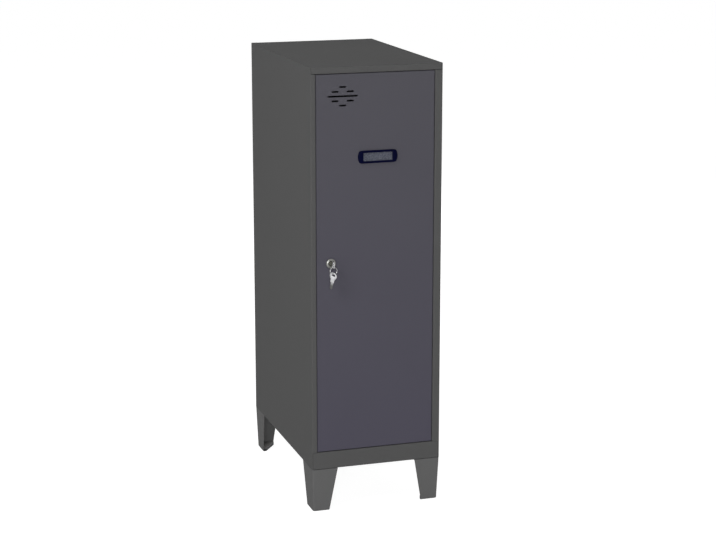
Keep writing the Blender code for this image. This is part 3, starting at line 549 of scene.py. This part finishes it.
def grown(name, tree, identifiers, sizes, mesh):
    """Run a tree on a mesh of points and give the plain mesh it makes."""
    obj = loose(name, mesh)
    modifier = obj.modifiers.new("nodes", "NODES")
    modifier.node_group = tree
    for label, value in sizes.items():
        modifier[identifiers[label]] = value
    return baked(obj)


def points_mesh(name, spots):
    """Bare points, each with the way it faces."""
    mesh = bpy.data.meshes.new(name)
    bm = bmesh.new()
    facing = bm.verts.layers.float_vector.new("facing")
    for place, way in spots:
        vert = bm.verts.new(place)
        vert[facing] = way
    bm.to_mesh(mesh)
    bm.free()
    return mesh


def coil_tree():
    """Wire wound in close turns, for the split ring and for threads."""
    tree, flow, given, identifiers = new_tree("coil", COIL)
    coil = flow.node("GeometryNodeCurveSpiral", None, {
        "Resolution": 48, "Rotations": given["Turns"], "Start Radius": given["Radius"],
        "End Radius": given["Radius"], "Height": given["Rise"]})
    wire = flow.node("GeometryNodeCurvePrimitiveCircle", None, {"Resolution": 12, "Radius": given["Wire"]})
    tube = flow.node("GeometryNodeCurveToMesh", None, {"Curve": coil, "Profile Curve": wire, "Fill Caps": True})
    end_tree(tree, flow, tube, "nickel")
    return tree, identifiers


def coils():
    """The split key ring, and the thread on the lock's barrel behind its nut."""
    tree, identifiers = coil_tree()
    spot = points_mesh("coil", [((0, 0, 0), (0, 0, 1))])
    mesh = grown("split_ring", tree, identifiers, COIL, spot)
    middle = Matrix.Translation((0, 0, -COIL["Rise"] / 2))
    mesh.transform(Matrix.Translation(RING) @ FACING_FRONT @ middle)
    add_piece("split_ring", mesh, "nickel", "ring", ["key_ring"])
    nut_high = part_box("lock_nut")[1].y
    rise = LOCK_HIGH.y - nut_high - BARREL_SHORT
    thread = {"Radius": BARREL_RADIUS, "Wire": BARREL_THREAD, "Rise": rise, "Turns": rise / BARREL_PITCH}
    mesh = grown("barrel_thread", tree, identifiers, thread, spot)
    mesh.transform(Matrix.Translation((LOCK.x, nut_high + BARREL_START, LOCK.z)) @ FACING_BACK)
    add_piece("barrel_thread", mesh, "nickel", "door", look=LOCK_NICKEL)


def aligned(flow):
    """Rotation that turns an instance the way its point faces."""
    way = flow.node("GeometryNodeInputNamedAttribute", {"data_type": "FLOAT_VECTOR"}, {"Name": "facing"})
    return flow.node("FunctionNodeAlignRotationToVector", {"axis": "Z"}, {"Vector": way})


WELD = {"Radius": 2.4 * MM, "Ridge": 0.2 * MM}
SHEET = 1.0 * MM
STIFFENER_WELDS = {"inset": 6 * MM, "end": 25 * MM, "pitch": 95 * MM}
SEAM_WELDS = {"inset": 8 * MM, "end": 30 * MM, "pitch": 84 * MM}
SHELF_WELDS = {"inset": 7 * MM, "end": 25 * MM, "pitch": 75 * MM}


def weld_tree():
    """Round spot weld marks: a low ring on the sheet."""
    tree, flow, given, identifiers = new_tree("spot_welds", WELD)
    circle = flow.node("GeometryNodeCurvePrimitiveCircle", None, {"Resolution": 20, "Radius": given["Radius"]})
    ridge = flow.node("GeometryNodeCurvePrimitiveCircle", None, {"Resolution": 6, "Radius": given["Ridge"]})
    ring = flow.node("GeometryNodeCurveToMesh", None, {"Curve": circle, "Profile Curve": ridge})
    spread = flow.node("GeometryNodeInstanceOnPoints", None,
                       {"Points": given["Geometry"], "Instance": ring, "Rotation": aligned(flow)})
    end_tree(tree, flow, spread, "body_paint")
    return tree, identifiers


def spaced(low, high, welds):
    """Places along a seam, in from its ends, at about the pitch of its welds."""
    first = low + welds["end"]
    last = high - welds["end"]
    count = max(1, round((last - first) / welds["pitch"]))
    return [first + (last - first) * step / count for step in range(count + 1)]


def spot_welds():
    """Weld marks on the door's stiffener, on the body's rear flanges and on the shelf's angles."""
    tree, identifiers = weld_tree()
    back = (0, 1, 0)
    stiff_low, stiff_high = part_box("door_stiffener")
    inset = STIFFENER_WELDS["inset"]
    door_spots = [((across, stiff_low.y + SHEET, height), back)
                  for across in (stiff_low.x + inset, stiff_high.x - inset)
                  for height in spaced(stiff_low.z, stiff_high.z, STIFFENER_WELDS)]
    mesh = grown("door_spot_welds", tree, identifiers, WELD, points_mesh("door_spot_welds", door_spots))
    add_piece("door_spot_welds", mesh, "door_paint", "door")
    body_spots = []
    left_low, left_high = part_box("left_side_panel")
    flange = abs(left_low.x) - SEAM_WELDS["inset"]
    for side, name in ((-1, "shelf_bracket_left"), (1, "shelf_bracket_right")):
        for height in spaced(left_low.z, left_high.z, SEAM_WELDS):
            body_spots.append(((side * flange, left_high.y, height), back))
        leg_low, leg_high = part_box(name)
        wall = (leg_low.x if side < 0 else leg_high.x) - side * SHEET
        for along in spaced(leg_low.y, leg_high.y, SHELF_WELDS):
            body_spots.append(((wall, along, leg_low.z + SHELF_WELDS["inset"]), (-side, 0, 0)))
    mesh = grown("body_spot_welds", tree, identifiers, WELD, points_mesh("body_spot_welds", body_spots))
    add_piece("body_spot_welds", mesh, "body_paint", "carcass")


# Fasteners of the feet and the lock

NUT_POINTS = 24
NUT_CHAMFER = math.radians(30)
NUT_FACE = 0.95               # share of the distance to a flat where the chamfer starts
NUT_SINK = 0.06               # share of the radius that the hole is countersunk
FOOT_NUT_HOLE = 3.05 * MM
STUD_PITCH = 1.0 * MM
STUD_THREAD = 0.3 * MM
SCREW_HEAD = 2.5 * MM
SCREW_SHANK = 2 * MM
SCREW_CROWN = 3.2             # radius of the screw's crown in radii of its head
BUFFER_ROUND = 1.0 * MM


def loft(rings):
    """Mesh between matching closed rings of points, the last ring joined back to the first."""
    bm = bmesh.new()
    made = [[bm.verts.new(point) for point in ring] for ring in rings]
    for first, second in zip(made, made[1:] + made[:1]):
        for i in range(len(first)):
            j = (i + 1) % len(first)
            bm.faces.new((first[i], first[j], second[j], second[i]))
    mesh = bpy.data.meshes.new("lofted")
    bm.to_mesh(mesh)
    bm.free()
    return mesh


def nut_mesh(radius, depth, hole):
    """Hexagon nut from height 0 up, with the usual chamfer on its corners and a countersunk hole."""
    turns = [math.tau * step / NUT_POINTS for step in range(NUT_POINTS)]
    flat = radius * math.cos(math.pi / 6)
    face = flat * NUT_FACE
    sink = NUT_SINK * radius

    def section(turn):
        """Reach and height of each point round the nut's section at a turn."""
        side = flat / math.cos((turn % (math.pi / 3)) - math.pi / 6)
        drop = (side - face) * math.tan(NUT_CHAMFER)
        return [(hole, sink), (hole, depth - sink), (hole + sink, depth), (face, depth),
                (side, depth - drop), (side, drop), (face, 0.0), (hole + sink, 0.0)]

    rings = zip(*[section(turn) for turn in turns])
    return loft([[(reach * math.cos(turn), reach * math.sin(turn), height)
                  for turn, (reach, height) in zip(turns, ring)] for ring in rings])


def foot_studs():
    """Threaded studs that are welded under the floor."""
    nodes = ["foot_stud_" + label for label in FASTENER_LABELS]
    boxes = [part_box(node) for node in nodes]
    low, high = boxes[0]
    sizes = {"Radius": (high.x - low.x) / 2, "Length": high.z - low.z, "Pitch": STUD_PITCH}
    tree, flow, given, identifiers = new_tree("threaded_studs", sizes)
    crest_radius = 1.5 * STUD_THREAD
    helix_radius = given["Radius"] - crest_radius
    helix_length = given["Length"] - 2 * STUD_THREAD
    core = flow.node("GeometryNodeMeshCylinder", None, {
        "Vertices": 20, "Radius": given["Radius"] - 2 * STUD_THREAD, "Depth": given["Length"]})
    lift = flow.node("ShaderNodeCombineXYZ", None, {"Z": given["Length"] * 0.5})
    core = flow.node("GeometryNodeTransform", None, {"Geometry": core, "Translation": lift})
    helix = flow.node("GeometryNodeCurveSpiral", None, {
        "Resolution": 18, "Rotations": flow.math("DIVIDE", helix_length, given["Pitch"]),
        "Start Radius": helix_radius, "End Radius": helix_radius, "Height": helix_length})
    crest = flow.node("GeometryNodeCurvePrimitiveCircle", None, {"Resolution": 5, "Radius": crest_radius})
    thread = flow.node("GeometryNodeCurveToMesh", None, {"Curve": helix, "Profile Curve": crest, "Fill Caps": True})
    stud = flow.node("GeometryNodeJoinGeometry", None, {"Geometry": [core, thread]})
    spread = flow.node("GeometryNodeInstanceOnPoints", None,
                       {"Points": given["Geometry"], "Instance": stud, "Rotation": aligned(flow)})
    end_tree(tree, flow, spread, "zinc_steel")
    spots = [(((a.x + b.x) / 2, (a.y + b.y) / 2, b.z), (0, 0, -1)) for a, b in boxes]
    mesh = grown("threaded_studs", tree, identifiers, sizes, points_mesh("threaded_studs", spots))
    add_piece("threaded_studs", mesh, "zinc_steel", "carcass", nodes)


def foot_nuts():
    """Nuts that hold the feet on the studs."""
    nodes = ["foot_nut_" + label for label in FASTENER_LABELS]
    boxes = [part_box(node) for node in nodes]
    low, high = boxes[0]
    pattern = loose("nut_pattern", nut_mesh((high.y - low.y) / 2, high.z - low.z, FOOT_NUT_HOLE))
    tree, flow, given, identifiers = new_tree("foot_nuts", {})
    shape = flow.node("GeometryNodeObjectInfo", None, {"Object": pattern}, out="Geometry")
    spread = flow.node("GeometryNodeInstanceOnPoints", None, {"Points": given["Geometry"], "Instance": shape})
    end_tree(tree, flow, spread, "zinc_steel")
    spots = [(((a.x + b.x) / 2, (a.y + b.y) / 2, a.z), (0, 0, 1)) for a, b in boxes]
    mesh = grown("foot_nuts", tree, identifiers, {}, points_mesh("foot_nuts", spots))
    bpy.data.objects.remove(pattern, do_unlink=True)
    add_piece("foot_nuts", mesh, "zinc_steel", "carcass", nodes, crease=25)


def lock_fasteners():
    """The lock's big nut behind the door, and the screw that holds the cam."""
    low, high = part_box("lock_nut")
    mesh = nut_mesh((high.z - low.z) / 2, high.y - low.y, BARREL_RADIUS + 0.3 * MM)
    quarter = Matrix.Rotation(math.radians(90), 4, "Z")
    mesh.transform(Matrix.Translation((LOCK.x, low.y, LOCK.z)) @ FACING_BACK @ quarter)
    add_piece("barrel_nut", mesh, "nickel", "door", ["lock_nut"], crease=25, look=LOCK_NICKEL)
    low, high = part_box("cam_screw")
    length = high.y - low.y
    head = (high.x - low.x) / 2
    neck = length - SCREW_HEAD
    crown = arc((0, length - SCREW_CROWN * head), SCREW_CROWN * head, 90 - 17, 90 - 6, 5)
    profile = [
        (0, 0), (SCREW_SHANK - 0.6 * MM, 0), (SCREW_SHANK, 0.6 * MM), (SCREW_SHANK, neck), (head, neck),
        (head, length - 1.1 * MM),
        *[(along, height) for along, height in crown if height < length],
        (1.7 * MM, length - 0.2 * MM), (1.5 * MM, length - 1.4 * MM), (0, length - 1.7 * MM),
    ]
    mesh = lathe(profile, Matrix.Translation((LOCK.x, low.y, LOCK.z)) @ FACING_BACK, 40)
    add_piece("cam_screw_pan_head", mesh, "nickel", "lock_cylinder", ["cam_screw"])


def buffers():
    """Domed rubber stops on the upright."""
    for end in ("top", "bottom"):
        low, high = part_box("door_buffer_" + end)
        radius = (high.x - low.x) / 2
        height = high.y - low.y
        dome = arc((radius - BUFFER_ROUND, height - BUFFER_ROUND), BUFFER_ROUND, 0, 90, 5)
        profile = [(0, 0), (radius - 0.15 * MM, 0), (radius, 0.2 * MM), *dome, (0, height)]
        place = Matrix.Translation(((low.x + high.x) / 2, high.y, (low.z + high.z) / 2)) @ FACING_FRONT
        add_piece("domed_buffer_" + end, lathe(profile, place, 32), "rubber", "carcass", ["door_buffer_" + end])


# Vent slots

VENT_X = DOOR_LOW.x + 60.2 * MM
VENT_Z = DOOR_HIGH.z - 48.15 * MM
SLOT_PITCH = 10 * MM
SLOT_SPREAD = 17 * MM
SLOT_HEIGHT = 3.8 * MM
SLOT_SHORT = 16 * MM
SLOT_LONG = 68 * MM
SLOT_BEAD = 0.15 * MM


def slot_rims():
    """Fine rolled edge round each punched slot."""
    sizes = {"Length": SLOT_SHORT + SLOT_BEAD, "Height": SLOT_HEIGHT + SLOT_BEAD, "Bead": SLOT_BEAD}
    tree, flow, given, identifiers = new_tree("slot_rims", sizes)
    outline = flow.node("GeometryNodeCurvePrimitiveQuadrilateral", {"mode": "RECTANGLE"},
                        {"Width": given["Length"], "Height": given["Height"]})
    rounded = flow.node("GeometryNodeFilletCurve", {"mode": "POLY"},
                        {"Curve": outline, "Radius": given["Height"] * 0.499, "Count": 8})
    bead = flow.node("GeometryNodeCurvePrimitiveCircle", None, {"Resolution": 8, "Radius": given["Bead"]})
    rim = flow.node("GeometryNodeCurveToMesh", None, {"Curve": rounded, "Profile Curve": bead})
    spread = flow.node("GeometryNodeInstanceOnPoints", None,
                       {"Points": given["Geometry"], "Instance": rim, "Rotation": aligned(flow)})
    end_tree(tree, flow, spread, "door_paint")
    front = (0, -1, 0)
    short = [(0, 2), (0, -2)] + [(side, level) for side in (-1, 1) for level in (1, -1)]
    spots = [((VENT_X + side * SLOT_SPREAD, DOOR_FACE, VENT_Z + level * SLOT_PITCH), front)
             for side, level in short]
    rims = grown("slot_rims", tree, identifiers, sizes, points_mesh("slot_rims", spots))
    sizes["Length"] = SLOT_LONG + SLOT_BEAD
    long_rim = grown("long_rim", tree, identifiers, sizes,
                     points_mesh("long_rim", [((VENT_X, DOOR_FACE, VENT_Z), front)]))
    bm = bmesh.new()
    bm.from_mesh(rims)
    bm.from_mesh(long_rim)
    bm.to_mesh(rims)
    bm.free()
    add_piece("slot_rims", rims, "door_paint", "door")


# Card holder

LABEL_WIDTH = 90 * MM
LABEL_HEIGHT = 28 * MM
LABEL_BULGE = 4 * MM
LABEL_DEPTH = 4 * MM
WINDOW = (66 * MM, 18.5 * MM)
POCKET = (70.8 * MM, 23.3 * MM)
POCKET_DEPTH = 2.2 * MM
SIDE_STEPS = 20
CORNER_SOFTENING = 3


def side_shares():
    """Even steps from 0 up to 1, for the points along one side of a loop."""
    return [step / SIDE_STEPS for step in range(SIDE_STEPS)]


def rectangle_loop(width, height):
    """Corner to corner round a rectangle, the same count of points on each side."""
    right = width / 2
    top = height / 2
    corners = [(-right, top), (right, top), (right, -top), (-right, -top), (-right, top)]
    return [tuple(a + (b - a) * share for a, b in zip(first, second))
            for first, second in zip(corners, corners[1:]) for share in side_shares()]


def holder_loop():
    """The holder's outline: straight long sides and ends that bulge, with softened corners."""
    half = LABEL_HEIGHT / 2
    straight = LABEL_WIDTH / 2 - LABEL_BULGE
    radius = (LABEL_BULGE ** 2 + half ** 2) / (2 * LABEL_BULGE)
    sweep = math.asin(half / radius)
    centre = straight + LABEL_BULGE - radius
    loop = [(straight * (2 * share - 1), half) for share in side_shares()]
    for end in (1, -1):
        for share in side_shares():
            turn = sweep * (1 - 2 * share)
            loop.append((end * (centre + radius * math.cos(turn)), end * radius * math.sin(turn)))
        if end > 0:
            loop += [(straight * (1 - 2 * share), -half) for share in side_shares()]
    for _ in range(CORNER_SOFTENING):
        loop = [tuple((a + 2 * b + c) / 4 for a, b, c in zip(loop[i - 1], loop[i], loop[(i + 1) % len(loop)]))
                for i in range(len(loop))]
    return loop


def card_holder():
    """Moulded frame with a crowned face, lofted between its outline, its window and its pocket."""
    outer = holder_loop()
    window = rectangle_loop(*WINDOW)
    pocket = rectangle_loop(*POCKET)
    section = [
        (pocket, 0.0, SEAT), (pocket, 0.0, POCKET_DEPTH), (window, 0.0, POCKET_DEPTH),
        (window, 0.0, LABEL_DEPTH - 0.9 * MM), (window, 0.04, LABEL_DEPTH - 0.55 * MM),
        (window, 0.14, LABEL_DEPTH - 0.18 * MM), (window, 0.35, LABEL_DEPTH - 0.02 * MM),
        (window, 0.6, LABEL_DEPTH), (window, 0.8, LABEL_DEPTH - 0.12 * MM),
        (window, 0.92, LABEL_DEPTH - 0.5 * MM), (window, 0.98, LABEL_DEPTH - 1.1 * MM),
        (window, 1.0, LABEL_DEPTH - 1.9 * MM), (window, 1.0, SEAT),
    ]
    mesh = loft([[(a + (c - a) * share, -depth, b + (d - b) * share) for (a, b), (c, d) in zip(inner, outer)]
                 for inner, share, depth in section])
    mesh.transform(Matrix.Translation(LABEL))
    add_piece("card_holder", mesh, "navy_plastic", "door", ["label_frame"], crease=50)


# Stage, light and camera

CAMERA_REACH = 200.0
FLOOR_SIZE = 30.0
FLOOR_GREY = (0.8, 0.8, 0.8, 1)
WHITE = (1, 1, 1, 1)
FLOOR_SHADOW = 0.4            # share of the light that the floor shows
FLOOR_LIGHT = 0.34            # light that reaches the open floor
SIDE_LIGHT = 0.6
SKY_LIGHT = 0.2

# Name, place, target, size in metres and power in watts
LAMPS = (
    ("front_light", (-1.6, -4.3, 1.5), (0.0, 0.0, 0.5), 1.2, 41.0),
    ("low_light", (-0.9, -4.2, 0.45), (0.0, 0.0, 0.3), 0.8, 30.0),
    ("left_light", (-4.0, -1.2, 1.0), (0.0, 0.0, 0.5), 2.4, 17.0),
    ("top_light", (-0.6, -0.3, 4.0), (0.0, 0.0, 0.9), 2.0, 12.0),
    ("fill_light", (3.0, 2.6, 0.6), (0.0, 0.0, 0.5), 1.2, 140.0),
    ("accent_light", (-2.4, -1.5, 3.0), (-0.1, -0.2, 0.57), 0.8, 38.0),
)


def seen_rays(flow):
    """1 for what the camera, a mirror or clear plastic sees, and 0 for what lights the object."""
    camera_ray, glossy_ray, clear_ray = [
        flow.node("ShaderNodeLightPath", out=name)
        for name in ("Is Camera Ray", "Is Glossy Ray", "Is Transmission Ray")]
    return flow.math("MAXIMUM", camera_ray, flow.math("MAXIMUM", glossy_ray, clear_ray))


def stage(shadow, level):
    """White floor that keeps a faint share of the shadow; level is the light that it gets where it is open."""
    bm = bmesh.new()
    bmesh.ops.create_grid(bm, x_segments=1, y_segments=1, size=FLOOR_SIZE)
    mesh = bpy.data.meshes.new("studio_floor")
    bm.to_mesh(mesh)
    bm.free()
    floor = loose("studio_floor", mesh)
    made, flow, _ = new_finish("studio_floor")
    plain = flow.node("ShaderNodeBsdfDiffuse", None, {"Color": FLOOR_GREY})
    soft = flow.node("ShaderNodeBsdfDiffuse", None, {"Color": (shadow, shadow, shadow, 1)})
    glow = flow.node("ShaderNodeEmission", None, {"Color": WHITE, "Strength": 1.0 - shadow * level})
    white = flow.node("ShaderNodeAddShader", None, {0: soft, 1: glow})
    shader = flow.node("ShaderNodeMixShader", None, {0: seen_rays(flow), 1: plain, 2: white})
    flow.node("ShaderNodeOutputMaterial", None, {"Surface": shader})
    mesh.materials.append(made)


def world_light(horizon, zenith):
    """White surroundings; the light they give is stronger from the sides than from above."""
    world = bpy.data.worlds.new("studio")
    world.use_nodes = True
    world.node_tree.nodes.clear()
    flow = Flow(world.node_tree)
    way = flow.node("ShaderNodeTexCoord", out="Generated")
    strength = horizon + (zenith - horizon) * height_of(flow, way).span(0.0, 1.0)
    lit = flow.node("ShaderNodeBackground", None, {"Color": WHITE, "Strength": strength})
    white = flow.node("ShaderNodeBackground", None, {"Color": WHITE, "Strength": 1.0})
    shader = flow.node("ShaderNodeMixShader", None, {0: seen_rays(flow), 1: lit, 2: white})
    flow.node("ShaderNodeOutputWorld", None, {"Surface": shader})
    bpy.context.scene.world = world


def soft_box(name, place, target, size, power):
    """Square lamp that faces a target."""
    data = bpy.data.lights.new(name, "AREA")
    data.shape = "SQUARE"
    data.size = size
    data.energy = power
    lamp = loose(name, data)
    lamp.location = place
    lamp.rotation_euler = (Vector(target) - Vector(place)).to_track_quat("-Z", "Y").to_euler()


def camera():
    """The photograph's view, with no shift."""
    data = bpy.data.cameras.new("photo_camera")
    data.sensor_width = CAMERA_SENSOR
    data.lens = CAMERA_LENS
    data.clip_end = CAMERA_REACH
    obj = loose("photo_camera", data)
    obj.location = CAMERA_PLACE
    obj.rotation_euler = (math.radians(90 - CAMERA_PITCH), 0.0, math.radians(-CAMERA_YAW))
    bpy.context.scene.camera = obj


dress_solids()
lock_head()
keys()
coils()
spot_welds()
foot_studs()
foot_nuts()
lock_fasteners()
buffers()
slot_rims()
card_holder()
stage(FLOOR_SHADOW, FLOOR_LIGHT)
world_light(SIDE_LIGHT, SKY_LIGHT)
for lamp in LAMPS:
    soft_box(*lamp)
camera()
bpy.context.scene.view_settings.view_transform = "Standard"
